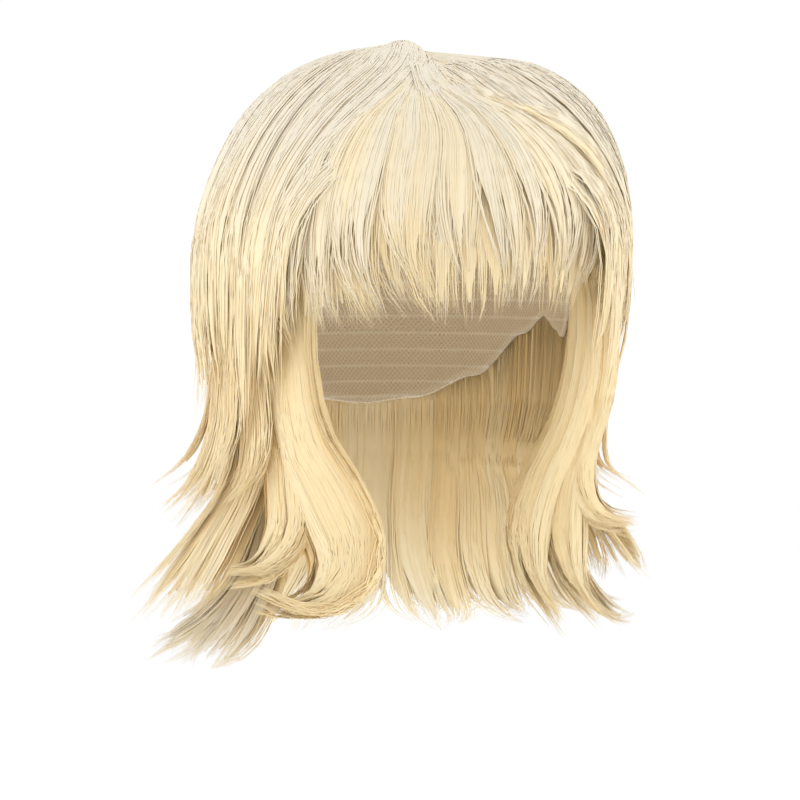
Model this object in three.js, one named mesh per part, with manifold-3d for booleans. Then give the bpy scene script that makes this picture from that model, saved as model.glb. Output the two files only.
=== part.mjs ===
// A layered blonde wig: a knitted cap with rows of hair sewn on, each row built as locks fused to its weft.
// Millimetres, +Z up. The face looks along -Y and the wearer's left is +X.
// The origin is the crown of the head, where the inside of the cap rests.
import * as THREE from "three";
import { mergeVertices } from "three/addons/utils/BufferGeometryUtils.js";
import Module from "manifold-3d";

const wasm = await Module();
wasm.setup();

// Driving dimensions

const HEAD = { halfWidth: 79, halfLength: 98, halfHeight: 102 }; // a head 560 mm round
const CAP_WALL = 1.5; // knitted net
const CAP_RINGS = 9; // facets of the cap from crown to edge
const CAP_FACET = 10; // degrees of bearing that one facet of the cap spans
const WEFT_WALL = 2.6; // doubled tape with the hair roots sewn in
const SEWN_GAP = 0.45; // clearance between the cap and a weft
const LOCK_SIDES = 5; // sides of a lock's section, with a flat side outward
const LOCK_STEPS = 7; // lengths that a lock is divided into

// Back-combed filling on the crown: its distances out from the head, and its edge as an angle from
// the crown, which grows from frontEdge over the fringe to sideEdge between the bearings sideFrom and sideBy.
const CROWN_PAD = { inner: 3.2, outer: 29, rings: 3, frontEdge: 21, sideEdge: 50, sideFrom: 60, sideBy: 90 };

// The cap's edge, as the angle down from the crown for each bearing from the face.
const CAP_EDGE = [
  { bearing: 0, polar: 68 },
  { bearing: 30, polar: 69 },
  { bearing: 48, polar: 78 },
  { bearing: 62, polar: 92 },
  { bearing: 72, polar: 100 },
  { bearing: 82, polar: 98 },
  { bearing: 96, polar: 94 },
  { bearing: 112, polar: 100 },
  { bearing: 135, polar: 114 },
  { bearing: 160, polar: 122 },
  { bearing: 180, polar: 124 },
];

// Each row of hair has stations from root to tip: the angle down from the crown, the distance out
// from the head, the fall below the head's widest level, the depth of a lock and its relative width.
// Each lock has its bearing, the angle that it covers, and its own length, flick, sweep and more:
// lift raises it over the shoulder of the crown, aside turns it away from the fringe there, and
// waist draws it in at the neck.

const LIFT_AT = { polar: 40, spread: 18 };
const ASIDE_OVER = { from: 12, to: 62 };
const WAIST_AT = { fall: 84, spread: 24 };

const CROWN = {
  stations: [
    { polar: 4, out: 33, fall: 0, depth: 8, width: 1.3 },
    { polar: 18, out: 37, fall: 0, depth: 11, width: 1.25 },
    { polar: 32, out: 41, fall: 0, depth: 12, width: 1.2 },
    { polar: 46, out: 42, fall: 0, depth: 12, width: 1.2 },
    { polar: 60, out: 40, fall: 0, depth: 12, width: 1.2 },
    { polar: 75, out: 37, fall: 0, depth: 10, width: 1.2 },
    { polar: 90, out: 34, fall: 6, depth: 8, width: 1.2 },
    { polar: 90, out: 32, fall: 26, depth: 6, width: 1.05 },
    { polar: 90, out: 36, fall: 46, depth: 3, width: 0.5 },
  ],
  locks: [
    { bearing: -43, covers: 22, longer: -12, flick: -2, sweep: -14, lift: 0, aside: -22 },
    { bearing: -68, covers: 23, longer: -6, flick: 0, sweep: -14, lift: 1, aside: -8 },
    { bearing: -92, covers: 23, longer: 0, flick: 1, sweep: -8, lift: 0, aside: 0 },
    { bearing: -116, covers: 24, longer: 1, flick: 2, sweep: 3, lift: 1, aside: 0 },
    { bearing: -140, covers: 24, longer: 4, flick: 0, sweep: -4, lift: 0, aside: 0 },
    { bearing: -165, covers: 25, longer: -3, flick: 2, sweep: 3, lift: 2, aside: 0 },
    { bearing: 169, covers: 25, longer: 5, flick: 1, sweep: 4, lift: 0, aside: 0 },
    { bearing: 143, covers: 25, longer: -2, flick: 2, sweep: -4, lift: 3, aside: 0 },
    { bearing: 118, covers: 24, longer: 3, flick: 0, sweep: 4, lift: 5, aside: 0 },
    { bearing: 93, covers: 24, longer: -6, flick: 0, sweep: 6, lift: 8, aside: 0 },
    { bearing: 68, covers: 23, longer: -16, flick: -2, sweep: 10, lift: 9, aside: 6 },
    { bearing: 40, covers: 23, longer: -24, flick: -3, sweep: 12, lift: 6, aside: 22 },
  ],
};

const MIDDLE = {
  weft: { from: 70, to: 290, polar: 56, deep: 7 },
  stations: [
    { polar: 59, out: 3.2, fall: 0, depth: 2.2, width: 1.0 },
    { polar: 70, out: 12, fall: 0, depth: 5, width: 1.1 },
    { polar: 82, out: 20, fall: 0, depth: 7, width: 1.15 },
    { polar: 90, out: 22, fall: 12, depth: 8, width: 1.15 },
    { polar: 90, out: 23, fall: 40, depth: 8, width: 1.15 },
    { polar: 90, out: 25, fall: 64, depth: 10, width: 1.15 },
    { polar: 90, out: 33, fall: 88, depth: 12, width: 1.05 },
    { polar: 90, out: 52, fall: 104, depth: 6, width: 0.45 },
  ],
  locks: [
    { bearing: -77, covers: 21, longer: -6, flick: -8, sweep: 3, waist: 0 },
    { bearing: -97, covers: 21, longer: 12, flick: 4, sweep: -4, waist: 0 },
    { bearing: -117, covers: 21, longer: 2, flick: 8, sweep: -3, waist: 0 },
    { bearing: -138, covers: 21, longer: 18, flick: 3, sweep: 4, waist: 0 },
    { bearing: -159, covers: 21, longer: -4, flick: 0, sweep: -4, waist: 0 },
    { bearing: 180, covers: 21, longer: 3, flick: 2, sweep: 4, waist: 0 },
    { bearing: 159, covers: 21, longer: -2, flick: 1, sweep: -3, waist: -2 },
    { bearing: 138, covers: 21, longer: 4, flick: 1, sweep: 4, waist: -5 },
    { bearing: 117, covers: 21, longer: -3, flick: 0, sweep: -3, waist: -8 },
    { bearing: 97, covers: 21, longer: 2, flick: -3, sweep: 3, waist: -11 },
    { bearing: 77, covers: 21, longer: 0, flick: -5, sweep: -3, waist: -13 },
  ],
};

const LOWER = {
  weft: { from: 70, to: 290, polar: 71, deep: 7 },
  stations: [
    { polar: 74, out: 3.2, fall: 0, depth: 2.2, width: 1.0 },
    { polar: 84, out: 8, fall: 0, depth: 3.5, width: 1.1 },
    { polar: 90, out: 10.5, fall: 22, depth: 5, width: 1.15 },
    { polar: 90, out: 11, fall: 60, depth: 6, width: 1.2 },
    { polar: 90, out: 17, fall: 96, depth: 9, width: 1.2 },
    { polar: 90, out: 33, fall: 126, depth: 12, width: 1.15 },
    { polar: 90, out: 48, fall: 147, depth: 12, width: 1.0 },
    { polar: 90, out: 62, fall: 163, depth: 6, width: 0.45 },
  ],
  locks: [
    { bearing: -84, covers: 20, longer: -2, flick: -5, sweep: 3, waist: 0 },
    { bearing: -104, covers: 22, longer: 5, flick: 6, sweep: -4, waist: 0 },
    { bearing: -126, covers: 22, longer: 2, flick: 8, sweep: 3, waist: 0 },
    { bearing: -148, covers: 22, longer: 4, flick: 0, sweep: -4, waist: 0 },
    { bearing: -170, covers: 22, longer: -5, flick: 2, sweep: 3, waist: 0 },
    { bearing: 170, covers: 22, longer: 2, flick: 0, sweep: -3, waist: -1 },
    { bearing: 148, covers: 22, longer: -3, flick: 1, sweep: 4, waist: -4 },
    { bearing: 126, covers: 22, longer: 0, flick: -5, sweep: -3, waist: -7 },
    { bearing: 104, covers: 22, longer: -8, flick: -10, sweep: 3, waist: -11 },
    { bearing: 82, covers: 22, longer: -14, flick: -14, sweep: -3, waist: -13 },
  ],
};

const NAPE = {
  weft: { from: 70, to: 290, aboveEdge: 11, deep: 7 },
  stations: [
    { aboveEdge: 7, out: 3.2, fall: 0, depth: 2.2, width: 1.0 },
    { polar: 90, out: 3.2, fall: 60, depth: 3.5, width: 1.1 },
    { polar: 90, out: 2.2, fall: 86, depth: 5, width: 1.2 },
    { polar: 90, out: 3, fall: 112, depth: 6, width: 1.2 },
    { polar: 90, out: 11, fall: 142, depth: 9, width: 1.2 },
    { polar: 90, out: 27, fall: 166, depth: 11, width: 1.15 },
    { polar: 90, out: 44, fall: 180, depth: 11, width: 1.0 },
    { polar: 90, out: 58, fall: 188, depth: 6, width: 0.45 },
  ],
  locks: [
    { bearing: -84, covers: 24, longer: -2, flick: -8, sweep: 5, waist: 0 },
    { bearing: -108, covers: 24, longer: 4, flick: 6, sweep: -4, waist: 0 },
    { bearing: -132, covers: 24, longer: 2, flick: 8, sweep: 3, waist: 0 },
    { bearing: -156, covers: 24, longer: 4, flick: -4, sweep: -4, waist: 0 },
    { bearing: 180, covers: 24, longer: -3, flick: 2, sweep: 3, waist: 0 },
    { bearing: 156, covers: 24, longer: 2, flick: -3, sweep: -4, waist: -3 },
    { bearing: 132, covers: 24, longer: -4, flick: -6, sweep: 3, waist: -6 },
    { bearing: 108, covers: 24, longer: -10, flick: -12, sweep: -3, waist: -10 },
    { bearing: 84, covers: 24, longer: -14, flick: -16, sweep: -4, waist: -13 },
  ],
};

// The fringe fans out from a point right of the middle; fan is the share of each lock's bearing from it.
const FAN_BEARING = -18;
const FRINGE = {
  weft: { from: -60, to: 60, polar: 23, deep: 28, wall: 36, sideWall: 18, sideFrom: 14, sideTo: 34 },
  stations: [
    { polar: 16, out: 34.5, fall: 0, depth: 5, width: 0.9, fan: 0.15 },
    { polar: 27, out: 36, fall: 0, depth: 9, width: 1.0, fan: 0.22 },
    { polar: 40, out: 38, fall: 0, depth: 10, width: 1.0, fan: 0.42 },
    { polar: 50, out: 37, fall: 0, depth: 10, width: 1.05, fan: 0.64 },
    { polar: 60, out: 33, fall: 0, depth: 10, width: 1.15, fan: 0.86 },
    { polar: 70, out: 26, fall: 0, depth: 9, width: 1.15, fan: 0.97 },
    { polar: 79, out: 18, fall: 0, depth: 7, width: 1.0, fan: 1 },
    { polar: 87, out: 11, fall: 0, depth: 3, width: 0.4, fan: 1 },
  ],
  locks: [
    { bearing: -55, covers: 13, longer: 24, flick: 18, sweep: 3, lift: -4 },
    { bearing: -44, covers: 14, longer: 18, flick: 13, sweep: -3, lift: -2 },
    { bearing: -32, covers: 14, longer: 9, flick: 6, sweep: -3, lift: 0 },
    { bearing: -20, covers: 14, longer: 0, flick: 0, sweep: 2, lift: 1 },
    { bearing: -8, covers: 14, longer: 1, flick: 0, sweep: -2, lift: 0 },
    { bearing: 4, covers: 14, longer: -2, flick: 1, sweep: 2, lift: 1 },
    { bearing: 16, covers: 14, longer: 1, flick: 4, sweep: 3, lift: 0 },
    { bearing: 28, covers: 14, longer: -1, flick: 8, sweep: 2, lift: -1 },
    { bearing: 40, covers: 14, longer: 4, flick: 13, sweep: 3, lift: -2 },
    { bearing: 52, covers: 14, longer: 10, flick: 17, sweep: 3, lift: -3 },
  ],
};

// Face locks: each station has its own bearing, because a lock swings forward and then curls back.
const FACE_RIGHT = [
  {
    covers: 18,
    stations: [
      { bearing: -58, polar: 62, out: 3.2, fall: 0, depth: 2.2, width: 0.7 },
      { bearing: -60, polar: 78, out: 8, fall: 0, depth: 6, width: 0.8 },
      { bearing: -62, polar: 90, out: 11, fall: 6, depth: 8, width: 0.9 },
      { bearing: -61, polar: 90, out: 13, fall: 38, depth: 9, width: 1.0 },
      { bearing: -56, polar: 90, out: 13, fall: 72, depth: 11, width: 1.1 },
      { bearing: -46, polar: 90, out: 13, fall: 101, depth: 13, width: 1.2 },
      { bearing: -39, polar: 90, out: 16, fall: 127, depth: 13, width: 1.1 },
      { bearing: -43, polar: 90, out: 26, fall: 146, depth: 12, width: 0.9 },
      { bearing: -52, polar: 90, out: 36, fall: 152, depth: 9, width: 0.6 },
      { bearing: -61, polar: 90, out: 42, fall: 148, depth: 4, width: 0.25 },
    ],
  },
  {
    covers: 12,
    stations: [
      { bearing: -62, polar: 62, out: 3.2, fall: 0, depth: 2.2, width: 0.7 },
      { bearing: -63, polar: 80, out: 7, fall: 0, depth: 4, width: 0.9 },
      { bearing: -63, polar: 90, out: 11, fall: 20, depth: 6, width: 1.0 },
      { bearing: -62, polar: 90, out: 12, fall: 56, depth: 8, width: 1.1 },
      { bearing: -60, polar: 90, out: 13, fall: 90, depth: 9, width: 1.1 },
      { bearing: -57, polar: 90, out: 18, fall: 116, depth: 10, width: 1.1 },
      { bearing: -61, polar: 90, out: 31, fall: 134, depth: 9, width: 0.9 },
      { bearing: -67, polar: 90, out: 44, fall: 139, depth: 5, width: 0.4 },
    ],
  },
];
const FACE_LEFT = [
  {
    covers: 16,
    stations: [
      { bearing: 54, polar: 62, out: 3.2, fall: 0, depth: 2.2, width: 0.7 },
      { bearing: 53, polar: 78, out: 9, fall: 0, depth: 8, width: 0.9 },
      { bearing: 52, polar: 90, out: 11, fall: 6, depth: 16, width: 1.0 },
      { bearing: 52, polar: 90, out: 9, fall: 36, depth: 18, width: 1.1 },
      { bearing: 52, polar: 90, out: 1, fall: 66, depth: 18, width: 1.1 },
      { bearing: 52, polar: 90, out: -12, fall: 92, depth: 20, width: 1.15 },
      { bearing: 51, polar: 90, out: -20, fall: 120, depth: 22, width: 1.2 },
      { bearing: 50, polar: 90, out: -17, fall: 148, depth: 18, width: 1.0 },
      { bearing: 50, polar: 90, out: -4, fall: 168, depth: 5, width: 0.4 },
    ],
  },
  {
    covers: 14,
    stations: [
      { bearing: 57, polar: 62, out: 3.2, fall: 0, depth: 2.2, width: 0.7 },
      { bearing: 57, polar: 80, out: 10, fall: 0, depth: 8, width: 0.9 },
      { bearing: 57, polar: 90, out: 15, fall: 24, depth: 12, width: 1.0 },
      { bearing: 57, polar: 90, out: 12, fall: 60, depth: 14, width: 1.1 },
      { bearing: 57, polar: 90, out: 3, fall: 90, depth: 18, width: 1.1 },
      { bearing: 57, polar: 90, out: 0, fall: 120, depth: 20, width: 1.2 },
      { bearing: 58, polar: 90, out: 5, fall: 146, depth: 18, width: 1.1 },
      { bearing: 60, polar: 90, out: 20, fall: 166, depth: 6, width: 0.4 },
    ],
  },
  {
    covers: 12,
    stations: [
      { bearing: 58, polar: 62, out: 3.2, fall: 0, depth: 2.2, width: 0.8 },
      { bearing: 58, polar: 78, out: 12, fall: 0, depth: 8, width: 0.9 },
      { bearing: 58, polar: 90, out: 19, fall: 12, depth: 14, width: 1.0 },
      { bearing: 58, polar: 90, out: 17, fall: 46, depth: 14, width: 1.1 },
      { bearing: 58, polar: 90, out: 8, fall: 76, depth: 14, width: 1.1 },
      { bearing: 58, polar: 90, out: 7, fall: 98, depth: 14, width: 1.1 },
      { bearing: 60, polar: 90, out: 18, fall: 114, depth: 12, width: 1.0 },
      { bearing: 64, polar: 90, out: 38, fall: 119, depth: 5, width: 0.4 },
    ],
  },
];

// Materials

const hairMaterial = new THREE.MeshStandardMaterial({ color: 0xe6d2a8, roughness: 0.45, metalness: 0 });
const netMaterial = new THREE.MeshStandardMaterial({ color: 0xd9c39a, roughness: 0.85, metalness: 0 });

// Places on and off the head

const { lerp, clamp, smoothstep, degToRad: radians } = THREE.MathUtils;

// The point that lies out from the head at a bearing and an angle from the crown, let down by fall.
function place(bearing, polar, out, fall = 0) {
  const turn = radians(bearing);
  const lean = radians(polar);
  const round = 1 / Math.hypot(Math.sin(turn) / HEAD.halfWidth, Math.cos(turn) / HEAD.halfLength);
  const reach = (round + out) * Math.sin(lean);
  const height = (HEAD.halfHeight + out) * Math.cos(lean) - HEAD.halfHeight - fall;
  return new THREE.Vector3(reach * Math.sin(turn), -reach * Math.cos(turn), height);
}

// A smooth rise to 1 where value meets middle.
function bell(value, middle, spread) {
  return Math.exp(-(((value - middle) / spread) ** 2));
}

// The cap's edge angle at any bearing, eased between the rows of its table.
function capEdge(bearing) {
  const side = Math.abs(((bearing + 540) % 360) - 180);
  const after = Math.max(1, CAP_EDGE.findIndex((row) => row.bearing >= side));
  const [low, high] = [CAP_EDGE[after - 1], CAP_EDGE[after]];
  const share = (side - low.bearing) / (high.bearing - low.bearing);
  return lerp(low.polar, high.polar, smoothstep(share, 0, 1));
}

// Solids

// Merges the seams of a blank, then moves every vertex to where placeAt puts it.
function shaped(blank, placeAt) {
  blank.deleteAttribute("normal");
  blank.deleteAttribute("uv");
  const bare = mergeVertices(blank);
  const spots = bare.getAttribute("position");
  for (let i = 0; i < spots.count; i++) {
    const at = placeAt(spots.getX(i), spots.getY(i), spots.getZ(i));
    spots.setXYZ(i, at.x, at.y, at.z);
  }
  return bare;
}

// A closed geometry as a solid, without the triangles that merging has folded flat.
function solidOf(geometry) {
  const index = geometry.index.array;
  const kept = [];
  for (let i = 0; i < index.length; i += 3) {
    const [a, b, c] = index.subarray(i, i + 3);
    if (a !== b && b !== c && c !== a) kept.push(a, b, c);
  }
  const vertProperties = geometry.getAttribute("position").array;
  const mesh = new wasm.Mesh({ numProp: 3, vertProperties, triVerts: new Uint32Array(kept) });
  return new wasm.Manifold(mesh);
}

// The dome of a shell between two distances from the head, down to its edge angle.
function dome(edgeAt, innerOut, outerOut, rings) {
  const shares = Array.from({ length: rings + 1 }, (_, i) => i / rings);
  const inside = shares.map((share) => new THREE.Vector2(share, 0));
  const outside = shares.map((share) => new THREE.Vector2(share, 1)).reverse();
  const blank = new THREE.LatheGeometry([...inside, ...outside], 360 / CAP_FACET);
  return solidOf(
    shaped(blank, (x, y, z) => {
      const bearing = THREE.MathUtils.radToDeg(Math.atan2(x, z));
      const share = Math.hypot(x, z);
      return place(bearing, share * edgeAt(bearing), lerp(innerOut, outerOut, y));
    }),
  );
}

// The filling's edge angle at any bearing.
function crownPadEdge(bearing) {
  const share = (Math.abs(bearing) - CROWN_PAD.sideFrom) / (CROWN_PAD.sideBy - CROWN_PAD.sideFrom);
  return lerp(CROWN_PAD.frontEdge, CROWN_PAD.sideEdge, clamp(share, 0, 1));
}

// A weft: a band of tape that lies on the cap between two bearings, in the same facets as the cap.
function weftBand({ from, to, polar, aboveEdge, deep, wall = WEFT_WALL, sideWall = wall, sideFrom, sideTo }) {
  const blank = new THREE.BoxGeometry(1, 1, 1, (to - from) / CAP_FACET, Math.ceil(deep / CAP_FACET), 1);
  const inner = CAP_WALL + SEWN_GAP;
  return solidOf(
    shaped(blank, (x, y, z) => {
      const bearing = lerp(from, to, x + 0.5);
      const top = polar ?? capEdge(bearing) - aboveEdge;
      const sideways = sideWall === wall ? 0 : smoothstep(Math.abs(bearing), sideFrom, sideTo);
      return place(bearing, top + deep * (0.5 - y), inner + lerp(wall, sideWall, sideways) * (z + 0.5));
    }),
  );
}

// A lock: a tapered lens section carried along a curve through its stations.
function lock(stations, covers) {
  const curve = new THREE.CatmullRomCurve3(
    stations.map((s) => place(s.bearing, s.polar, s.out, s.fall)),
  );
  const steps = LOCK_STEPS;
  const last = stations.length - 1;
  const rings = [];
  let side = null;
  let before = null;
  for (let i = 0; i <= steps; i++) {
    const share = i / steps;
    const at = curve.getPoint(share);
    const along = curve.getTangent(share).normalize();
    if (side === null) {
      const { bearing, polar, out } = stations[0];
      side = place(bearing + 1, polar, out).sub(place(bearing - 1, polar, out));
    } else {
      side.applyQuaternion(new THREE.Quaternion().setFromUnitVectors(before, along));
    }
    side.addScaledVector(along, -side.dot(along)).normalize();
    before = along.clone();
    const row = Math.min(last - 1, Math.floor(share * last));
    const [low, high] = [stations[row], stations[row + 1]];
    const part = share * last - row;
    const reach = Math.hypot(at.x, at.y);
    const halfWidth = (reach * radians(covers) * lerp(low.width, high.width, part)) / 2;
    const halfDepth = lerp(low.depth, high.depth, part) / 2;
    rings.push({ at, side: side.clone(), out: side.clone().cross(along), halfWidth, halfDepth });
  }
  const blank = new THREE.CylinderGeometry(1, 1, 1, LOCK_SIDES, steps, false, Math.PI / 2);
  return solidOf(
    shaped(blank, (x, y, z) => {
      const ring = rings[Math.round((0.5 - y) * steps)];
      return ring.at
        .clone()
        .addScaledVector(ring.side, z * ring.halfWidth)
        .addScaledVector(ring.out, x * ring.halfDepth);
    }),
  );
}

// The stations of one lock in a row, with its own changes worked in.
function lockStations(row, own) {
  return row.stations.map((station, i) => {
    const share = i / (row.stations.length - 1);
    const late = share ** 3;
    const from = station.fan === undefined ? 0 : FAN_BEARING;
    const fanned = from + (own.bearing - from) * (station.fan ?? 1);
    const turned = (own.aside ?? 0) * smoothstep(station.polar ?? 0, ASIDE_OVER.from, ASIDE_OVER.to);
    const bearing = fanned + turned + own.sweep * share ** 2;
    const polar = station.polar ?? capEdge(bearing) - station.aboveEdge;
    const shoulder = station.fall > 0 ? 0 : bell(polar, LIFT_AT.polar, LIFT_AT.spread);
    const neck = bell(station.fall, WAIST_AT.fall, WAIST_AT.spread);
    const raised = (own.lift ?? 0) * shoulder + (own.waist ?? 0) * neck;
    const out = station.out + raised + own.flick * late;
    return { ...station, bearing, polar, out, fall: station.fall + own.longer * late };
  });
}

// A row of hair: all its locks fused to what they are sewn to.
function hairRow(row, backing) {
  return row.locks.reduce((body, own) => body.add(lock(lockStations(row, own), own.covers)), backing);
}

// Face locks that hang from one root.
function fusedLocks(locks) {
  const [first, ...others] = locks.map(({ stations, covers }) => lock(stations, covers));
  return others.reduce((body, other) => body.add(other), first);
}

// Assembly

const bodies = {
  wig_cap: dome(capEdge, 0, CAP_WALL, CAP_RINGS),
  crown_layer: hairRow(CROWN, dome(crownPadEdge, CROWN_PAD.inner, CROWN_PAD.outer, CROWN_PAD.rings)),
  middle_layer: hairRow(MIDDLE, weftBand(MIDDLE.weft)),
  lower_layer: hairRow(LOWER, weftBand(LOWER.weft)),
  nape_layer: hairRow(NAPE, weftBand(NAPE.weft)),
  fringe: hairRow(FRINGE, weftBand(FRINGE.weft)),
  face_lock_right: fusedLocks(FACE_RIGHT),
  face_lock_left: fusedLocks(FACE_LEFT),
};

const wig = new THREE.Group();
for (const [name, body] of Object.entries(bodies)) {
  const made = body.getMesh();
  const geometry = new THREE.BufferGeometry();
  geometry.setAttribute("position", new THREE.BufferAttribute(made.vertProperties, 3));
  geometry.setIndex(new THREE.BufferAttribute(made.triVerts, 1));
  geometry.computeVertexNormals();
  const mesh = new THREE.Mesh(geometry, name === "wig_cap" ? netMaterial : hairMaterial);
  mesh.name = name;
  wig.add(mesh);
}

export default wig;
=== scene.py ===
import math

import bpy
import numpy as np
from mathutils import Matrix, Vector


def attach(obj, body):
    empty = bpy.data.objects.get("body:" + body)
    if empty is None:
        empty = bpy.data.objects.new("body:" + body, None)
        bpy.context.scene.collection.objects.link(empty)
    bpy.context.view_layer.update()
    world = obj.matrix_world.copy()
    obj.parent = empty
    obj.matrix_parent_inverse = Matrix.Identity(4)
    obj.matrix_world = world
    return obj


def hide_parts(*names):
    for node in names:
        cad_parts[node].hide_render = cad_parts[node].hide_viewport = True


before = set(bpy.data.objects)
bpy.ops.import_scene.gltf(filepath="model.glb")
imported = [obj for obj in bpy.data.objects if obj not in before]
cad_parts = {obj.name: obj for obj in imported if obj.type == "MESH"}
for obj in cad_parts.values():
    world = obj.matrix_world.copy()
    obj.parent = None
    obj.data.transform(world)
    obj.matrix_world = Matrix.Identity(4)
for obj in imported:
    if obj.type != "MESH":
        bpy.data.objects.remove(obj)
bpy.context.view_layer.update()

# Wig cap: a knitted stretch net with a folded tape sewn round its edge, which holds by its own stretch.
# Rows of stitching show inside it, where each weft of hair is machined on.
MM = 0.001  # all sizes and tables are in millimetres
CAP_HALF = (79.0, 98.0, 102.0)  # half of the width, length and height of the round form that the cap fits
CAP_WALL = 1.5
HEM_WALL = 2.3
HEM_SPAN = 4.0  # degrees of the edge that the tape covers
NET_ROUND, NET_DOWN = 144, 44  # facets of the net
MAP_DEPTH = 130  # degrees down from the crown that the net's map takes in
CAP_EDGE = np.array([  # bearing from the front, angle of the edge down from the crown
    (0, 68), (30, 69), (48, 78), (62, 92), (72, 100), (82, 98),
    (96, 94), (112, 100), (135, 114), (160, 122), (180, 124),
], float)


def eased(value, low, high):
    """0 below low, 1 above high, and a smooth rise between."""
    share = np.clip((value - low) / (high - low), 0, 1)
    return share * share * (3 - 2 * share)


def place(bearing, polar, out, fall=0.0):
    """The point out from the cap's inside at a bearing and an angle from the crown, let down by fall."""
    turn, lean, out, fall = np.broadcast_arrays(np.radians(bearing), np.radians(polar), out, fall)
    round_half = 1 / np.hypot(np.sin(turn) / CAP_HALF[0], np.cos(turn) / CAP_HALF[1])
    reach = (round_half + out) * np.sin(lean)
    height = (CAP_HALF[2] + out) * np.cos(lean) - CAP_HALF[2] - fall
    return np.stack([reach * np.sin(turn), -reach * np.cos(turn), height], axis=-1)


def cap_edge(bearing):
    """The angle of the cap's edge at any bearing."""
    side = np.abs((np.asarray(bearing, float) + 540) % 360 - 180)
    after = np.clip(np.searchsorted(CAP_EDGE[:, 0], side), 1, len(CAP_EDGE) - 1)
    low, high = CAP_EDGE[after - 1], CAP_EDGE[after]
    share = (side - low[..., 0]) / (high[..., 0] - low[..., 0])
    return low[..., 1] + (high[..., 1] - low[..., 1]) * eased(share, 0, 1)


class Socket:
    """A shader socket that takes part in Python sums."""

    def __init__(self, tree, out=None):
        self.tree, self.out = tree, out

    def node(self, kind, settings=None, inputs=None, output=0):
        made = self.tree.nodes.new(kind)
        for name, value in (settings or {}).items():
            if name == "stops":
                ramp = made.color_ramp.elements
                while len(ramp) < len(value):
                    ramp.new(1.0)
                for element, (position, colour) in zip(ramp, value):
                    element.position, element.color = position, (*colour, 1)
            else:
                setattr(made, name, value)
        for name, value in (inputs or {}).items():
            if isinstance(value, Socket):
                self.tree.links.new(value.out, made.inputs[name])
            else:
                made.inputs[name].default_value = value
        return Socket(self.tree, made.outputs[output])

    def sum(self, operation, *values):
        return self.node("ShaderNodeMath", {"operation": operation}, dict(enumerate(values)))

    def __add__(self, other):
        return self.sum("ADD", self, other)

    def __sub__(self, other):
        return self.sum("SUBTRACT", self, other)

    def __rsub__(self, other):
        return self.sum("SUBTRACT", other, self)

    def __mul__(self, other):
        return self.sum("MULTIPLY", self, other)

    __radd__ = __add__
    __rmul__ = __mul__


def finish_of(name):
    """A new material: its socket maker and its shader, still to be fed."""
    material = bpy.data.materials.new(name)
    material.use_nodes = True
    tree = material.node_tree
    return material, Socket(tree), tree.nodes["Principled BSDF"]


bpy.ops.object.select_all(action="DESELECT")
bpy.ops.mesh.primitive_grid_add(x_subdivisions=NET_ROUND, y_subdivisions=NET_DOWN, size=1)
cap = bpy.context.object
cap.name = cap.data.name = "cap_net"
flat = np.empty(len(cap.data.vertices) * 3)
cap.data.vertices.foreach_get("co", flat)
flat = flat.reshape(-1, 3)
bearing = -360 * flat[:, 0]
share = 0.5 - flat[:, 1]
edge = cap_edge(bearing)
laid = np.stack([bearing / 360 + 0.5, share * edge / MAP_DEPTH], axis=1)
corner = np.empty(len(cap.data.loops), int)
cap.data.loops.foreach_get("vertex_index", corner)
cap.data.uv_layers["UVMap"].data.foreach_set("uv", laid[corner].astype(np.float32).ravel())
cap.data.vertices.foreach_set("co", (place(bearing, share * edge, 0.0) * MM).ravel())
taped = eased(share * edge, edge - HEM_SPAN - 1, edge - HEM_SPAN)
hem = cap.vertex_groups.new(name="hem")
for i, thick in enumerate(CAP_WALL + (HEM_WALL - CAP_WALL) * taped):
    hem.add([i], thick / HEM_WALL, "REPLACE")
bpy.ops.object.mode_set(mode="EDIT")
bpy.ops.mesh.select_all(action="SELECT")
bpy.ops.mesh.remove_doubles(threshold=1e-6)
bpy.ops.mesh.normals_make_consistent(inside=False)
bpy.ops.object.mode_set(mode="OBJECT")
wall = cap.modifiers.new("wall", "SOLIDIFY")
wall.thickness, wall.offset, wall.vertex_group = HEM_WALL * MM, 1.0, "hem"
bpy.ops.object.modifier_apply(modifier="wall")
bpy.ops.object.shade_smooth()

net, make, shader = finish_of("cap_net")
uv = make.node("ShaderNodeUVMap", {"uv_map": "UVMap"})
across = make.node("ShaderNodeSeparateXYZ", None, {0: uv}, 0)
down = make.node("ShaderNodeSeparateXYZ", None, {0: uv}, 1)
WEFT_ROWS, STITCHES_ROUND, MESHES_ROUND, MESHES_DOWN = 24, 240, 210, 76
turn = 2 * math.pi
zigzag = across.sum("SINE", across * (turn * STITCHES_ROUND)) * 0.05
row = down.sum("FRACT", down * WEFT_ROWS + zigzag)
seam = row.node("ShaderNodeMapRange", {"interpolation_type": "SMOOTHSTEP"}, {
    0: row.sum("ABSOLUTE", row - 0.5), 1: 0.05, 2: 0.11, 3: 1.0, 4: 0.0,
})
one_way = across.sum("SINE", (across * MESHES_ROUND + down * MESHES_DOWN) * turn)
other_way = across.sum("SINE", (across * MESHES_ROUND - down * MESHES_DOWN) * turn)
knit = one_way.sum("MAXIMUM", one_way, other_way) * 0.5 + 0.5
shade = knit * 0.6 * (1 - seam) + seam * 0.95
colour = make.node("ShaderNodeValToRGB", {"stops": [
    (0.0, (0.70, 0.57, 0.40)), (0.5, (0.80, 0.69, 0.52)), (1.0, (0.90, 0.81, 0.66)),
]}, {0: shade})
bump = make.node("ShaderNodeBump", None, {"Height": shade, "Strength": 0.5, "Distance": 0.0008})
make.tree.links.new(colour.out, shader.inputs["Base Color"])
make.tree.links.new(bump.out, shader.inputs["Normal"])
shader.inputs["Roughness"].default_value = 0.8
cap.data.materials.append(net)
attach(cap, "root")
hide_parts("wig_cap")

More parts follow.
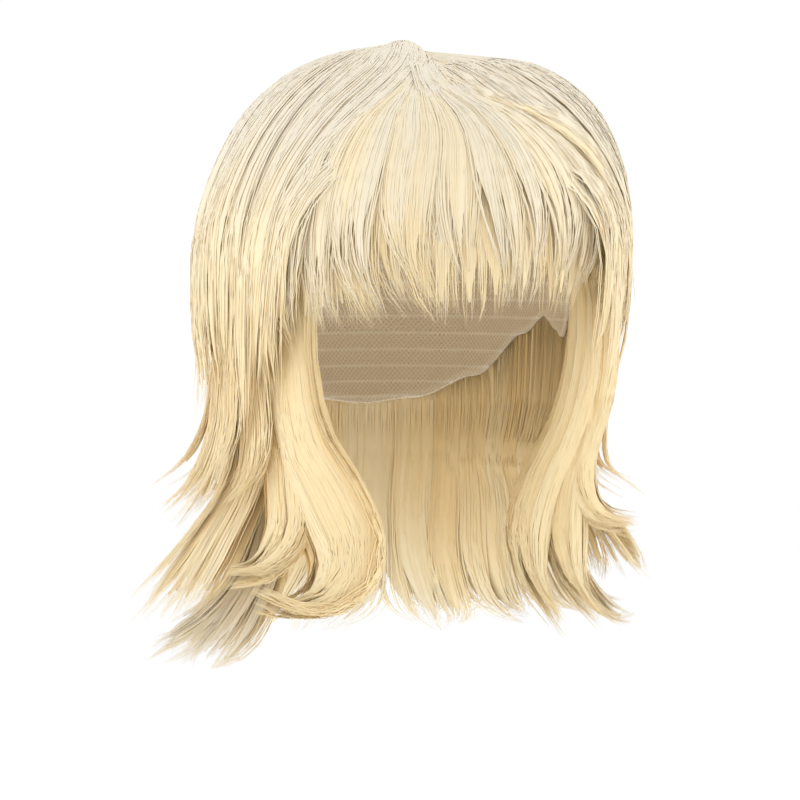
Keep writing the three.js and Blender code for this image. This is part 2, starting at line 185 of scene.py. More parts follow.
# Nape layer: the lowest weft, machined along the back of the cap just above its edge.
# Heat-set synthetic fibre in locks that hang close in, then kick out into the longest flipped ends.
DRAW = np.random.default_rng(1971)
SAMPLES = 44  # places along a lock where its section is worked out
FLIPPED = np.linspace(0, 1, 13) ** 0.85  # rings of a strand that curls at its end
SECTION = np.radians((90, 210, 330))  # a strand is three-sided, with a ridge outward
NAPE_PATH = np.array([  # polar, out, fall, depth, fan
    (0, 3.2, 0, 2.2, 1), (90, 3.2, 60, 3.5, 1), (90, 2.2, 86, 5, 1), (90, 3, 112, 6, 1),
    (90, 11, 142, 9, 1), (90, 27, 166, 12, 1), (90, 44, 180, 12, 1), (90, 58, 188, 6, 1),
])
NAPE_ABOVE, NAPE_TOP = 7, 4  # degrees from the roots down to the cap's edge and up to the top of the weft
NAPE_LOCKS = np.array([  # bearing, longer, flick, sweep, lift, aside, waist
    (84, -14, -16, -4, 0, 0, -13), (108, -10, -12, -3, 0, 0, -10), (132, -4, -6, 3, 0, 0, -6),
    (156, 2, -3, -4, 0, 0, -3), (180, -3, 2, 3, 0, 0, 0), (204, 4, -4, -4, 0, 0, 0),
    (228, 2, 8, 3, 0, 0, 0), (252, 4, 6, -4, 0, 0, 0), (276, -2, -8, 5, 0, 0, 0),
], float)
NAPE_LEVELS = (  # level in the layer, strands on each lock, tone, share of them on its inner face; the inner level's lower tone is painted shade
    (-0.45, 22, 0.47, 0.82), (0.45, 16, 0.65, 0.28),
)
FAN_BEARING = -18.0  # where a row that fans out has its middle
WAVE = 2.4  # how far the set wave swings a lock sideways, in degrees
WAVES_ALONG = 1.15  # waves in the length of a lock
WAVE_STEP = 4  # degrees of a wave that a lock lags for each degree of its bearing
ASIDE_FROM, ASIDE_TO = 18, 74  # angles from the crown between which a lock turns aside
SHOULDER, SHOULDER_SPREAD = 52, 20  # the angle from the crown where a lifted lock stands highest
WAIST, WAIST_SPREAD = 84, 24  # the fall at which a lock is drawn in
LEAST_WIDE, LEAST_DEEP = 0.8, 0.35  # half the section of a lock at its thinnest
LOOSE_SHARE = 0.02  # strands that have come away from their lock
LOOSE, HELD = (1.2, 1.6), (0.94, 1.06)  # where they and the others lie, in sections of the lock
TAPER = np.array([(0, 0.7), (0.12, 1), (0.78, 0.95), (1, 0.12)])  # the width of a strand along its length
STRAND_FLAT = 0.3  # the depth of a strand against its width
DRIFT_FROM, DRIFT_FULL = 0.35, 0.95  # shares of the length between which a lock turns paler or darker
BODY_RINGS = 20
CREASE = math.radians(100)  # strands and locks keep a crisp edge where they turn more than this
WEFT_SPAN = (70, 290)  # bearings between which the three hanging rows are sewn
WEFT_DEEP, WEFT_INNER, WEFT_OUTER = 7, 1.95, 4.55  # degrees down, and how far out its two faces lie
WEFT_TONE = 0.3
PULL = 0.72  # share of the way that the fine locks of a hanging row drift to the table's
VARY = (5, 3, 2, 0)  # how far they differ from one another in longer, flick, sweep and lift
HOLD = 0.76  # share of its length over which a hanging lock keeps its width
LEVEL_SPREAD, TONE_SPREAD = 0.2, 0.07  # how far their levels and tones differ
STRAND = 0.42  # half width of a strand in the hanging rows
UNDER = 0.25  # how far a lock's packed middle lies under its strands, or over them in an inner level


def unit(vectors):
    return vectors / np.maximum(np.linalg.norm(vectors, axis=-1, keepdims=True), 1e-9)


def hump(value, middle, spread):
    """A smooth rise to 1 where value meets middle."""
    return np.exp(-(((value - middle) / spread) ** 2))


def row_path(stations, own, shift=0.0, above_edge=None):
    """Where each lock of a row passes, station by station; shift moves it sideways, in degrees."""
    share = np.linspace(0, 1, len(stations))
    late = share**3
    polar, out, fall, _, fan = stations.T
    bearing, longer, flick, sweep, lift, aside, waist, gather = (own[:, i, None] for i in range(8))
    turn = FAN_BEARING + (bearing + shift - FAN_BEARING) * fan
    leaves = ASIDE_FROM + 0.5 * np.abs(aside)
    turned = np.sin(np.pi / 2 * np.clip((polar - leaves) / (ASIDE_TO - leaves), 0, 1))
    wave = np.sin(2 * np.pi * WAVES_ALONG * share + np.radians(WAVE_STEP * bearing)) * eased(share, 0.25, 0.6)
    turn = turn + aside * turned + sweep * share**2 + gather * share**4 + WAVE * wave
    polar = np.broadcast_to(polar, turn.shape).copy()
    if above_edge is not None:
        polar[:, 0] = cap_edge(turn[:, 0]) - above_edge
    shoulder = np.where(fall > 0, 0, hump(polar, SHOULDER, SHOULDER_SPREAD))
    raised = lift * shoulder + waist * hump(fall, WAIST, WAIST_SPREAD)
    return place(turn, polar, out + raised + flick * late, fall + longer * late)


def row_locks(locks, low, high, spacing, pull, vary):
    """Fine locks between two bearings. Each takes its shape from the table's locks on either side of it,
    drifts a share of the way to the nearer one, and differs from its neighbours by vary."""
    count = int((high - low) / spacing)
    bearing = low + (np.arange(count) + DRAW.uniform(0.2, 0.8, count)) * (high - low) / count
    own = np.stack([np.interp(bearing, locks[:, 0], column) for column in locks.T], axis=1)
    own[:, 0] = bearing
    nearest = locks[np.abs(bearing[:, None] - locks[:, 0]).argmin(axis=1), 0]
    own[:, 1:5] += DRAW.normal(0, 1, (count, 4)) * vary
    return np.column_stack([own, pull * (nearest - bearing)])


def through(points):
    """A smooth curve through the stations of each lock."""
    last = points.shape[1] - 1
    at = np.linspace(0, last, SAMPLES)
    row = np.minimum(at.astype(int), last - 1)
    part = (at - row)[None, :, None]
    ends = (2 * points[:, :1] - points[:, 1:2], points, 2 * points[:, -1:] - points[:, -2:-1])
    a, b, c, d = (np.concatenate(ends, axis=1)[:, row + k] for k in range(4))
    square, cube = 2 * a - 5 * b + 4 * c - d, 3 * b - a - 3 * c + d
    return 0.5 * (2 * b + (c - a) * part + square * part**2 + cube * part**3)


def lenses(path, own, spacing, depth, level, hold, overlap=2.3, flat=0.16, bend=1 / 150):
    """The section of each lock along its length: its middle, its sideways and outward directions,
    its half width and its half depth. level is where in the layer's depth it lies, from -1 to 1."""
    middle, beside = through(path(own)), through(path(own, 0.5))
    along = unit(np.gradient(middle, axis=1))
    side = beside - middle
    degree = np.linalg.norm(side, axis=2) * 2
    side = unit(side - along * np.sum(side * along, axis=2, keepdims=True))
    outward = np.cross(along, side)
    share = np.linspace(0, 1, SAMPLES)
    thick = np.interp(share, np.linspace(0, 1, len(depth)), depth) / 2
    narrow = overlap + (0.25 - overlap) * eased(share, hold, 1.06)
    rise = level[:, None] * thick
    middle = middle + outward * rise[:, :, None]
    half_width = np.maximum(degree * spacing / 2 * narrow, LEAST_WIDE)
    half_depth = np.maximum(thick * flat * (1 - 0.7 * eased(share, hold, 1.0)), LEAST_DEEP) + 0 * half_width
    return middle, side, outward, half_width, half_depth, bend


def read(values, lock, share):
    """Values that were worked out along each lock, read at other shares of its length."""
    at = share * (SAMPLES - 1)
    low = np.minimum(at.astype(int), SAMPLES - 2)
    part = at - low
    part = part[..., None] if values.ndim == 3 else part
    return values[lock, low] * (1 - part) + values[lock, low + 1] * part


def skins(count, rings, sides):
    """The triangles of closed bars that stand one after another: their walls, roots and tips."""
    first = (np.arange(count) * rings * sides)[:, None, None]
    base = first + np.arange(rings - 1)[None, :, None] * sides
    j = np.arange(sides)
    a, b = base + j, base + (j + 1) % sides
    halves = np.stack([a, b, b + sides], -1), np.stack([a, b + sides, a + sides], -1)
    fan = np.stack([np.zeros(sides - 2, int), np.arange(1, sides - 1), np.arange(2, sides)], axis=1)
    root, tip = first + fan[:, ::-1], first + (rings - 1) * sides + fan
    walls = np.concatenate(halves, axis=2)
    return np.concatenate([part.reshape(-1, 3) for part in (walls, root, tip)])


def tubes(middle, side, outward, wide, thick, share, tone, start):
    """Closed three-sided strands as points, triangles and map places, numbered from start."""
    count, rings = share.shape
    ring = np.stack([
        middle + side * (np.cos(a) * wide)[..., None] + outward * (np.sin(a) * thick)[..., None]
        for a in SECTION
    ], axis=2)
    band = tone[:, :, None] + np.array((0, 0.008, -0.008))
    places = np.stack(np.broadcast_arrays(share[:, :, None], band), axis=-1).reshape(-1, 2)
    return ring.reshape(-1, 3), skins(count, rings, len(SECTION)) + start, places


def strands(lens, each, thickness, tone, drift, spread, stray, inside, ends, rings):
    """Strands that lie over the locks: how many on each, how thick, how pale, and how far they stray."""
    middle, side, outward, half_width, half_depth, bend = lens
    lock = np.repeat(np.arange(len(middle)), each)
    count = len(lock)
    reach = 1 - np.abs(DRAW.normal(0, ends, count)).clip(0, 0.45)
    start = DRAW.uniform(0, 0.03, count)
    share = start[:, None] + (reach - start)[:, None] * rings
    across = DRAW.uniform(-1, 1, count)
    above = np.sqrt(1 - across**2) * np.where(DRAW.uniform(0, 1, count) < inside, -1, 1)
    astray = DRAW.uniform(0, 1, count) < LOOSE_SHARE
    loose = np.where(astray, DRAW.uniform(*LOOSE, count), DRAW.uniform(*HELD, count))[:, None]
    waves = DRAW.uniform(0.6, 1.6, count)[:, None] * rings
    swing = stray * (0.25 + rings) * np.sin(2 * np.pi * (waves + DRAW.uniform(0, 1, count)[:, None]))
    width, depth = read(half_width, lock[:, None], share), read(half_depth, lock[:, None], share)
    x = across[:, None] * width * loose + swing
    y = above[:, None] * depth * loose - x**2 * bend + 0.15 * swing * DRAW.uniform(-1, 1, count)[:, None]
    s, n = read(side, lock[:, None], share), read(outward, lock[:, None], share)
    at = read(middle, lock[:, None], share) + s * x[..., None] + n * y[..., None]
    taper = np.interp(rings, *TAPER.T)
    wide = thickness * DRAW.uniform(0.7, 1.3, count)[:, None] * taper
    # strands toward a lock's edges and on its inner face are darkened, as painted shade
    pale = tone[lock] + DRAW.normal(0, spread, count) - 0.03 * across**2 - np.where(above < 0, 0.06, 0)
    pale = pale[:, None] + drift * eased(share, DRIFT_FROM, DRIFT_FULL)
    return at, s, n, wide, wide * STRAND_FLAT, share, pale.clip(0.03, 0.97)


def lock_bodies(lens, tone, drift, sunk, reach, start, sides=6):
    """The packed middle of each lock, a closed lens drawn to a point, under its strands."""
    middle, side, outward, half_width, half_depth, bend = lens
    pick = np.linspace(0, reach * (SAMPLES - 1), BODY_RINGS).astype(int)
    share = pick / (SAMPLES - 1)
    drawn = 0.86 - 0.8 * eased(share, 3.5 * reach - 2.65, reach)
    angle = np.arange(sides) * 2 * np.pi / sides
    wide, deep = half_width[:, pick, None] * drawn[:, None], half_depth[:, pick, None] * 0.9
    x = wide * np.cos(angle)
    y = deep * np.sin(angle) - x**2 * bend - sunk[:, None, None]
    s, n = side[:, pick, None], outward[:, pick, None]
    ring = middle[:, pick, None] + s * x[..., None] + n * y[..., None]
    share = share[None, :, None]
    band = tone[:, None, None] + 0.05 * np.cos(angle) + drift * eased(share, DRIFT_FROM, DRIFT_FULL)
    places = np.stack(np.broadcast_arrays(share, band), axis=-1).reshape(-1, 2)
    return ring.reshape(-1, 3), skins(len(ring), BODY_RINGS, sides) + start, places


def backing(low, high, top, deep, inner, outer, tone, start, step=5):
    """The tape or filling under a row: a closed band on the cap between two bearings."""
    turns = np.linspace(low, high, int((high - low) / step) + 1)
    leans = np.linspace(0, 1, max(2, int(deep / step) + 1))
    top, inner, outer = (
        np.broadcast_to(size(turns) if callable(size) else size, turns.shape) for size in (top, inner, outer)
    )
    polar = top[:, None] + deep * leans
    faces_out = place(turns[:, None], polar, outer[:, None])
    faces_in = place(turns[:, None], polar, inner[:, None])
    rows, columns = polar.shape
    index = np.arange(rows * columns).reshape(rows, columns)
    under = index + rows * columns
    quads = [(index[:-1, :-1], index[:-1, 1:], index[1:, 1:], index[1:, :-1])]
    quads.append((under[:-1, :-1], under[1:, :-1], under[1:, 1:], under[:-1, 1:]))
    quads.append((index[:-1, 0], index[1:, 0], under[1:, 0], under[:-1, 0]))
    quads.append((index[1:, -1], index[:-1, -1], under[:-1, -1], under[1:, -1]))
    quads.append((index[0, 1:], index[0, :-1], under[0, :-1], under[0, 1:]))
    quads.append((index[-1, :-1], index[-1, 1:], under[-1, 1:], under[-1, :-1]))
    faces = np.concatenate([
        np.concatenate([np.stack((a, b, c), -1).reshape(-1, 3), np.stack((a, c, d), -1).reshape(-1, 3)])
        for a, b, c, d in quads
    ])
    points = np.concatenate([faces_out.reshape(-1, 3), faces_in.reshape(-1, 3)])
    places = np.stack(np.broadcast_arrays(leans, (turns[:, None] % 10) / 60 + tone), axis=-1).reshape(-1, 2)
    return points, faces + start, np.concatenate([places, places])


def hair_piece(name, node, parts):
    """One layer of hair as one mesh, from its backing, its locks and their strands."""
    mesh = bpy.data.meshes.new(name)
    points = np.concatenate([part[0] for part in parts]) * MM
    faces = np.concatenate([part[1] for part in parts])
    places = np.concatenate([part[2] for part in parts])
    mesh.from_pydata(points, [], faces)
    mesh.shade_smooth()
    mesh.set_sharp_from_angle(angle=CREASE)
    layer = mesh.uv_layers.new(name="OFBake")
    layer.data.foreach_set("uv", places[faces.ravel()].astype(np.float32).ravel())
    mesh.materials.append(hair)
    piece = bpy.data.objects.new(name, mesh)
    bpy.context.collection.objects.link(piece)
    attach(piece, "root")
    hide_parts(node)


def grown(parts):
    """The number of points in a layer so far."""
    return sum(len(part[0]) for part in parts)


def comb(parts, lens, each, thickness, tone, drift=0.0, spread=0.05, stray=0.8, inside=0.25, ends=0.06,
         sunk=0.3, reach=0.9, rings=FLIPPED):
    """Adds a set of locks and the strands on them to a layer."""
    sunk = np.broadcast_to(sunk, tone.shape)
    # a lock's packed middle is coloured slightly darker than its strands, as painted shade under them
    parts.append(lock_bodies(lens, (tone - 0.02).clip(0.12, 0.88), drift, sunk, reach, grown(parts)))
    laid = strands(lens, each, thickness, tone, drift, spread, stray, inside, ends, rings)
    parts.append(tubes(*laid, grown(parts)))


hair, make, shader = finish_of("hair")
uv = make.node("ShaderNodeUVMap", {"uv_map": "OFBake"})
along = make.node("ShaderNodeSeparateXYZ", None, {0: uv}, 0)
tone = make.node("ShaderNodeSeparateXYZ", None, {0: uv}, 1)
drawn_out = make.node("ShaderNodeMapping", None, {"Vector": uv, "Scale": (1.2, 160.0, 1.0)})
streak = make.node("ShaderNodeTexNoise", {"noise_dimensions": "2D"}, {
    "Vector": drawn_out, "Scale": 1.0, "Detail": 2.0,
})
root = make.node("ShaderNodeMapRange", {"interpolation_type": "SMOOTHSTEP"}, {
    0: along, 1: 0.0, 2: 0.25, 3: 1.0, 4: 0.0,
})
tip = make.node("ShaderNodeMapRange", {"interpolation_type": "SMOOTHSTEP"}, {
    0: along, 1: 0.55, 2: 1.0, 3: 0.0, 4: 1.0,
})
# the tone streaks at random; the roots are painted darker, as shade where the hair springs from its weft, and
# the tips are paler
pale = tone + (streak - 0.5) * 0.12 + tip * 0.10 - root * 0.08
colour = make.node("ShaderNodeValToRGB", {"stops": [
    (0.0, (0.80, 0.55, 0.24)), (0.3, (0.90, 0.69, 0.35)),
    (0.6, (0.92, 0.77, 0.48)), (0.95, (0.87, 0.80, 0.66)),
]}, {0: pale})
make.tree.links.new(colour.out, shader.inputs["Base Color"])
make.tree.links.new((0.5 - 0.12 * pale).out, shader.inputs["Roughness"])
shader.inputs["Specular IOR Level"].default_value = 0.45
shader.inputs["Sheen Weight"].default_value = 0.25
shader.inputs["Sheen Tint"].default_value = (1.0, 0.88, 0.68, 1)


def level_of(count, middle, spread):
    """How deep in the layer each lock lies."""
    return DRAW.normal(middle, spread, count)


def tone_of(count, middle, spread):
    """How pale each lock is, from 0 for golden to 1 for nearly white."""
    return DRAW.normal(middle, spread, count).clip(0.1, 0.95)


def weft(top):
    """The tape that a hanging row is sewn to."""
    return backing(*WEFT_SPAN, top, WEFT_DEEP, WEFT_INNER, WEFT_OUTER, WEFT_TONE, 0)


def hang(parts, path, depth, locks, low, high, spacing, levels, drift):
    """Adds the two levels of fine locks that hang in a row, between two bearings."""
    for level, each, tone, inside in levels:
        own = row_locks(locks, low, high, spacing, PULL, VARY)
        lens = lenses(path, own, spacing, depth, level_of(len(own), level, LEVEL_SPREAD), HOLD)
        comb(parts, lens, each, STRAND, tone_of(len(own), tone, TONE_SPREAD), drift=drift,
             inside=inside, sunk=math.copysign(UNDER, level))


def nape_path(own, shift=0.0):
    return row_path(NAPE_PATH, own, shift, above_edge=NAPE_ABOVE)


parts = [weft(lambda bearing: cap_edge(bearing) - NAPE_ABOVE - NAPE_TOP)]
hang(parts, nape_path, NAPE_PATH[:, 3], NAPE_LOCKS, 74, 287, 5.2, NAPE_LEVELS, drift=0.26)
hair_piece("nape_hair", "nape_layer", parts)

# Lower layer: the next weft up, round the sides and the back of the cap.
# Its locks of the same fibre fall close in at first, then flip outward over the nape layer.
LOWER_PATH = np.array([  # polar, out, fall, depth, fan
    (74, 3.2, 0, 2.2, 1), (84, 8, 0, 3.5, 1), (90, 10.5, 22, 5, 1), (90, 11, 60, 6, 1),
    (90, 17, 96, 9, 1), (90, 33, 126, 14, 1), (90, 48, 147, 14, 1), (90, 62, 163, 7, 1),
])
LOWER_LOCKS = np.array([  # bearing, longer, flick, sweep, lift, aside, waist
    (82, -14, -14, -3, 0, 0, -13), (104, -8, -10, 3, 0, 0, -11), (126, 0, -5, -3, 0, 0, -7),
    (148, -3, 1, 4, 0, 0, -4), (170, 2, 0, -3, 0, 0, -1), (190, -5, 2, 3, 0, 0, 0),
    (212, 4, 0, -4, 0, 0, 0), (234, 2, 8, 3, 0, 0, 0), (256, 5, 6, -4, 0, 0, 0), (276, -2, -5, 3, 0, 0, 0),
], float)
LOWER_LEVELS = (  # level in the layer, strands on each lock, tone, share of them on its inner face; the inner level's lower tone is painted shade
    (-0.4, 13, 0.38, 0.25), (0.5, 26, 0.47, 0.25),
)
WEFT_TOP = 3  # degrees from the roots up to the top of the weft


def lower_path(own, shift=0.0):
    return row_path(LOWER_PATH, own, shift)


parts = [weft(LOWER_PATH[0, 0] - WEFT_TOP)]
hang(parts, lower_path, LOWER_PATH[:, 3], LOWER_LOCKS, 72, 285, 5.0, LOWER_LEVELS, drift=0.1)
hair_piece("lower_hair", "lower_layer", parts)

# Middle layer: the weft round the widest part of the cap.
# Its locks hang out from under the crown layer and end in short outward flicks.
MIDDLE_PATH = np.array([  # polar, out, fall, depth, fan
    (59, 3.2, 0, 2.2, 1), (70, 12, 0, 5, 1), (82, 20, 0, 7, 1), (90, 22, 12, 8, 1),
    (90, 24, 40, 9, 1), (90, 25, 64, 11, 1), (90, 33, 88, 15, 1), (90, 52, 104, 8, 1),
])
MIDDLE_LOCKS = np.array([  # bearing, longer, flick, sweep, lift, aside, waist
    (77, 0, -5, -3, 0, 0, -13), (97, 2, -3, 3, 0, 0, -11), (117, -3, 0, -3, 0, 0, -8),
    (138, 4, 1, 4, 0, 0, -5), (159, -2, 1, -3, 0, 0, -2), (180, 3, 2, 4, 0, 0, 0),
    (201, -4, 0, -4, 0, 0, 0), (222, 18, 3, 4, 0, 0, 0), (243, 2, 8, -3, 0, 0, 0),
    (263, 12, 4, -4, 0, 0, 0), (283, -6, -8, 3, 0, 0, 0),
], float)
MIDDLE_LEVELS = (  # level in the layer, strands on each lock, tone, share of them on its inner face
    (-0.4, 12, 0.34, 0.25), (0.5, 30, 0.34, 0.25),
)


def middle_path(own, shift=0.0):
    return row_path(MIDDLE_PATH, own, shift)


parts = [weft(MIDDLE_PATH[0, 0] - WEFT_TOP)]
hang(parts, middle_path, MIDDLE_PATH[:, 3], MIDDLE_LOCKS, 67, 292, 5.0, MIDDLE_LEVELS, drift=0.08)
hair_piece("middle_hair", "middle_layer", parts)

# Face locks: full loose locks sewn at the cap's front corners, two at its right and three at its left.
# Those at the right swing forward and curl back at their ends; those at the left hang close in and turn out.
FACE_RIGHT = [  # the angle that a lock covers, then its bearing, polar, out, fall, depth, width
    (20, np.array([
        (-58, 62, 3.2, 0, 2.2, 0.7), (-60, 78, 8, 0, 6, 0.8), (-62, 90, 12, 6, 9, 0.9),
        (-61, 90, 14, 38, 11, 1.0), (-56, 90, 14, 72, 13, 1.1), (-46, 90, 13, 101, 15, 1.2),
        (-39, 90, 16, 127, 15, 1.05), (-43, 90, 26, 146, 13, 0.85), (-52, 90, 36, 152, 10, 0.55),
        (-61, 90, 42, 148, 4, 0.2),
    ])),
    (16, np.array([
        (-62, 62, 3.2, 0, 2.2, 0.7), (-64, 80, 8, 0, 5, 0.9), (-66, 90, 12, 20, 7, 1.0),
        (-66, 90, 13, 56, 9, 1.1), (-63, 90, 14, 90, 11, 1.1), (-60, 90, 18, 116, 12, 1.05),
        (-63, 90, 31, 134, 10, 0.85), (-70, 90, 45, 139, 5, 0.35),
    ])),
]
FACE_LEFT = [
    (16, np.array([
        (54, 62, 3.2, 0, 2.2, 0.7), (53, 78, 9, 0, 9, 0.9), (52, 90, 11, 6, 18, 1.0),
        (52, 90, 9, 36, 20, 1.1), (52, 90, 1, 66, 21, 1.1), (52, 90, -12, 92, 23, 1.15),
        (51, 90, -20, 120, 25, 1.2), (50, 90, -17, 148, 20, 1.0), (50, 90, -4, 168, 5, 0.4),
    ])),
    (16, np.array([
        (57, 62, 3.2, 0, 2.2, 0.7), (57, 80, 10, 0, 9, 0.9), (57, 90, 15, 24, 14, 1.0),
        (57, 90, 12, 60, 16, 1.1), (57, 90, 3, 90, 20, 1.1), (57, 90, 0, 120, 23, 1.2),
        (58, 90, 5, 146, 20, 1.1), (60, 90, 20, 166, 6, 0.4),
    ])),
    (16, np.array([
        (58, 62, 3.2, 0, 2.2, 0.8), (58, 78, 12, 0, 9, 0.9), (58, 90, 19, 12, 16, 1.0),
        (58, 90, 17, 46, 17, 1.1), (58, 90, 8, 76, 17, 1.1), (58, 90, 7, 98, 17, 1.1),
        (60, 90, 18, 114, 14, 1.0), (64, 90, 38, 119, 5, 0.4),
    ])),
]
FINE_ROUND = np.radians(np.arange(16) * 22.5)  # where the fine locks lie round a face lock
ROUND_DEEP, ROUND_BEND = 0.6, 1 / 44  # their half depth and their bend


def round_lenses(path, own, covers, depth, angle, hold):
    """Fine locks laid side by side round the section of a full lock, at the angles given."""
    full = lenses(path, own, covers, depth, 0 * angle, hold, overlap=1.0, flat=1.0)
    middle, side, outward, half_width, half_depth, _ = full
    along = np.cross(side, outward)
    x, y = half_width * np.cos(angle)[:, None], half_depth * np.sin(angle)[:, None]
    middle = middle + side * x[..., None] + outward * y[..., None]
    x, y = half_width * np.sin(angle)[:, None], half_depth * np.cos(angle)[:, None]
    ahead = unit(side * x[..., None] - outward * y[..., None])
    girth = np.pi * np.sqrt(2) * np.hypot(half_width, half_depth)
    wide = np.maximum(0.9 * girth / len(angle), LEAST_WIDE)
    return middle, ahead, np.cross(along, ahead), wide, ROUND_DEEP + 0 * girth, ROUND_BEND


for name, node, face_locks, each in (
    ("face_hair_right", "face_lock_right", FACE_RIGHT, 31),
    ("face_hair_left", "face_lock_left", FACE_LEFT, 26),
):
    parts = []
    for covers, stations in face_locks:

        def face_path(own, shift=0.0):
            late = np.linspace(0, 1, len(stations)) ** 3
            bearing, polar, out, fall, _, width = stations.T
            turn = bearing + shift * width + own[:, 2:3] * late
            return place(turn, polar, out + own[:, 1:2] * late, fall + own[:, :1] * late)

        own = DRAW.normal(0, 1, (len(FINE_ROUND), 3)) * (4, 2, 1)
        lens = round_lenses(face_path, own, covers, stations[:, 4], FINE_ROUND, 0.7)
        comb(parts, lens, each, 0.4, tone_of(len(own), 0.42, 0.05), inside=0.05, ends=0.07, sunk=0.05)
    hair_piece(name, node, parts)

# Crown layer: the long top hair, back-combed over a filling and smoothed into two full lobes.
# It falls from the whorl over the sides and back, turns away from the fringe, and its ends kick out a little.
PARTING = (0.94, -0.342)  # the way across the parting, seen from above
CROWN_PATH = np.array([  # polar, out, fall, depth, fan
    (0.5, 32, 0, 4, 1), (18, 37, 0, 11, 1), (32, 41, 0, 12, 1), (46, 42, 0, 12, 1), (60, 40, 0, 12, 1),
    (75, 39, 0, 10, 1), (90, 36, 6, 8, 1), (90, 33, 26, 6, 1), (90, 36, 46, 3, 1),
])
CROWN_LOCKS = np.array([  # bearing, longer, flick, sweep, lift, aside, waist
    (-12, -20, -16, 4, -5, 50, 0), (14, -22, -14, 8, -2, 36, 0), (40, -22, -11, 12, 4, 22, 0),
    (68, -14, -9, 10, 9, 6, 0), (93, -4, -9, 6, 8, 0, 0), (118, 3, -8, 4, 5, 0, 0), (143, 6, -7, -4, 3, 0, 0),
    (169, 12, -7, 4, 0, 0, 0), (195, 4, -6, 3, 2, 0, 0), (220, 8, -4, -4, 0, 0, 0), (244, 1, 2, 3, 1, 0, 0),
    (268, 6, 1, -8, 0, 0, 0), (292, 12, -3, -12, -1, -8, 0), (317, 8, -9, -10, -3, -22, 0),
    (347, -2, -14, -4, -5, -42, 0),
], float)
CREST = ((3, -6, 12), (-8, 10, 7), (-5, 28, 16))  # rise, place across the parting, spread
CREST_FROM, CREST_FULL = 12, 30  # heights between which the crest comes in
LONG = np.linspace(0, 1, 15) ** 1.15  # rings of a strand that lies smooth


def crown_path(own, shift=0.0):
    points = row_path(CROWN_PATH, own, shift)
    across = points[..., 0] * PARTING[0] + points[..., 1] * PARTING[1]
    crest = sum(rise * hump(across, middle, spread) for rise, middle, spread in CREST)
    points[..., 2] += crest * eased(points[..., 2], CREST_FROM, CREST_FULL)
    return points


# the filling, and a tuft that closes the whorl
parts = [backing(0, 360, top=0.2, deep=48, inner=3.2, outer=27, tone=0.75, start=0)]
parts.append(backing(0, 360, top=0.1, deep=1.2, inner=26, outer=31, tone=0.8, start=grown(parts)))
# level, first and last bearing, spacing, pull to the table's locks, strands on each
for level, low, high, spacing, pull, each in ((0.25, 10, 326, 8.0, 0.0, 3), (0.5, -20, 352, 5.2, 0.25, 24)):
    own = row_locks(CROWN_LOCKS, low, high, spacing, pull, (18, 1, 1.5, 0.2))
    lens = lenses(crown_path, own, spacing, CROWN_PATH[:, 3], level_of(len(own), level, 0.04), 0.66,
                  flat=0.08, bend=1 / 105)
    comb(parts, lens, each, 0.45, tone_of(len(own), 0.93, 0.02), drift=-0.53,
         spread=0.03, stray=0.6, inside=0.1, ends=0.2, sunk=0.4, rings=LONG)
hair_piece("crown_hair", "crown_layer", parts)

# Fringe: full bangs of the same fibre, sewn over the front of the cap. They fan out from one point
# right of the middle, lie in overlapping locks, some of them sickle-shaped, and end in fine points.
FRINGE_PATH = np.array([  # polar, out, fall, depth, fan
    (18, 32, 0, 4, 0.12), (28, 35, 0, 8, 0.15), (38, 37, 0, 10, 0.22),
    (46, 37.5, 0, 10, 0.62), (53, 36, 0, 10, 0.88), (61, 32.5, 0, 10, 1.02),
    (70, 26, 0, 9, 1.06), (79, 18, 0, 7, 1.04), (87, 11, 0, 3, 1),
])
FRINGE_LOCKS = np.array([  # bearing, longer, flick, sweep, lift, aside, waist
    (-55, 24, 20, -5, -3, 0, 0), (-44, 18, 14, -2, -2, 0, 0), (-32, 9, 6, -2, 0, 0, 0),
    (-20, 0, 0, 2, 1, 0, 0), (-8, 1, 0, -2, 0, 0, 0), (4, -2, 2, 2, 1, 0, 0), (16, 1, 5, 3, 0, 0, 0),
    (28, -1, 11, 2, 0, 0, 0), (40, 4, 18, 3, 0, 0, 0), (52, 10, 22, 3, 0, 0, 0),
], float)
BOW, HOOK = 14.0, 22.0  # how far a sickle-shaped lock bows outward and then hooks back, in degrees
SICKLES = ((1, -33, 14), (-0.3, 20, 20))  # share of that bow, bearing, spread


def fringe_filling(bearing):
    """How far out the filling under the fringe reaches, which is less toward the sides."""
    return 36 - 18 * eased(np.abs(bearing), 14, 34)


def fringe_path(own, shift=0.0):
    return row_path(FRINGE_PATH, own, shift)


parts = [backing(-60, 60, top=23, deep=28, inner=WEFT_INNER, outer=fringe_filling, tone=0.6, start=0)]
# level, pull to the table's locks, strands on each, tone, drift, shorter, hold, reach of the packed middle
# the deeper levels' lower tones are painted shade under the top locks
for level, pull, each, pale, drift, shorter, hold, reach in (
    (-0.4, 0.0, 21, 0.66, -0.18, -12, 0.94, 0.95),
    (0.2, 0.3, 14, 0.74, -0.16, -3, 0.8, 0.92),
    (0.7, 0.7, 16, 0.82, -0.12, 10, 0.64, 0.9),
):
    own = row_locks(FRINGE_LOCKS, -68, 66, 4.0, pull, (3, 2, 2, 0.6))
    own[:, 1] -= shorter * hump(own[:, 0], 0, 34)
    sickle = sum(bowed * hump(own[:, 0], middle, spread) for bowed, middle, spread in SICKLES)
    own[:, 3] -= BOW * sickle
    own[:, 7] += HOOK * sickle
    lens = lenses(fringe_path, own, 4.0, FRINGE_PATH[:, 3], level_of(len(own), level, 0.12), hold)
    comb(parts, lens, each, 0.4, tone_of(len(own), pale, 0.06), drift=drift,
         spread=0.04, stray=0.7, inside=0.1, ends=0.04, sunk=UNDER, reach=reach)
hair_piece("fringe_hair", "fringe", parts)

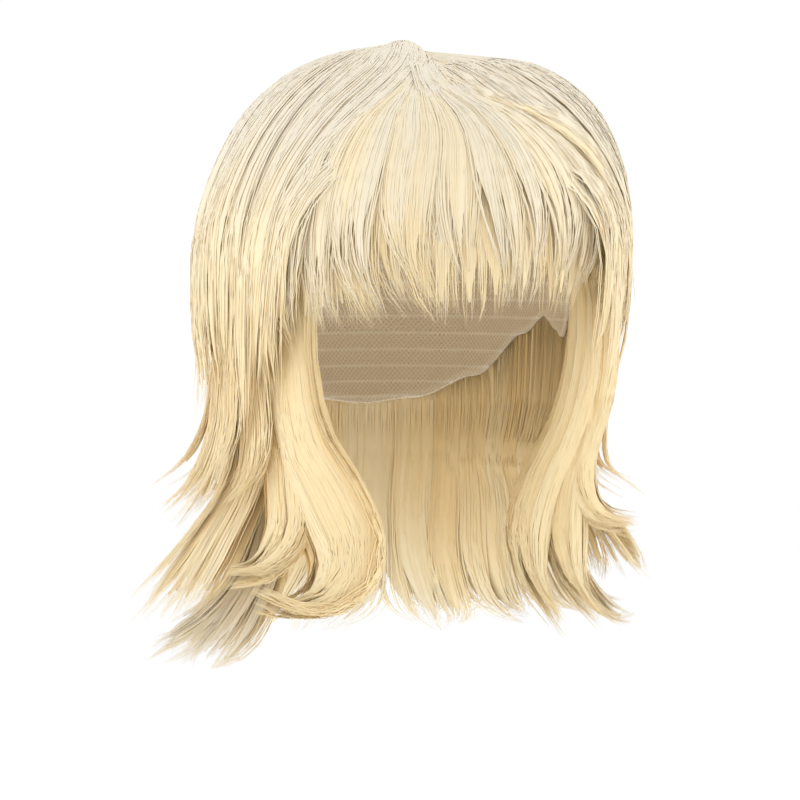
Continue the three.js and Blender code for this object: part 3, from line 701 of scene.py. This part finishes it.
# Studio: white paper well below the wig and soft white light from all round, with a weak lamp over
# the camera and a broad one at each side. The camera stands level with the wig, off its right front.
FLOOR_Z = -0.80
ROOM_LIGHT = 1.02
bpy.ops.object.select_all(action="DESELECT")
bpy.ops.mesh.primitive_plane_add(size=12, location=(0, 0, 0))
floor = bpy.context.object
floor.name = "studio_floor"
floor.data.transform(Matrix.Translation((0, 0, FLOOR_Z)))
paper, make, shader = finish_of("studio_paper")
shader.inputs["Base Color"].default_value = (0.98, 0.98, 0.98, 1)
shader.inputs["Roughness"].default_value = 0.9
floor.data.materials.append(paper)

world = bpy.data.worlds.new("studio")
bpy.context.scene.world = world
world.use_nodes = True
world.node_tree.nodes["Background"].inputs["Color"].default_value = (1, 1, 1, 1)
world.node_tree.nodes["Background"].inputs["Strength"].default_value = ROOM_LIGHT
bpy.context.scene.view_settings.view_transform = "Standard"

AZIMUTH, ELEVATION, DISTANCE = math.radians(-20), math.radians(3), 1.5
AIM_RIGHT, AIM_UP = -0.0076, -0.154  # the wig's middle as the camera sees it, in metres from the crown
LENS, SENSOR = 124.9, 36
right = Vector((math.cos(AZIMUTH), math.sin(AZIMUTH), 0))
level_toward = Vector((math.sin(AZIMUTH), -math.cos(AZIMUTH), 0))
toward = level_toward * math.cos(ELEVATION) + Vector((0, 0, math.sin(ELEVATION)))
target = right * AIM_RIGHT + Vector((0, 0, AIM_UP))
# metres toward the camera, to its right and up from the wig's middle; width in metres; watts
for ahead, beside, up, width, power in (
    (1.6, -0.3, 0.9, 1.6, 0.5), (0.4, -1.5, -0.2, 1.2, 5), (0.2, 1.6, 0.3, 1.6, 5),
):
    spot = target + toward * ahead + right * beside + Vector((0, 0, up))
    bpy.ops.object.light_add(type="AREA", location=spot)
    lamp = bpy.context.object
    lamp.data.size, lamp.data.energy = width, power
    lamp.rotation_euler = (target - spot).to_track_quat("-Z", "Y").to_euler()

bpy.ops.object.camera_add(location=target + toward * DISTANCE)
camera = bpy.context.object
camera.rotation_euler = (-toward).to_track_quat("-Z", "Y").to_euler()
camera.data.lens, camera.data.sensor_width = LENS, SENSOR
bpy.context.scene.camera = camera
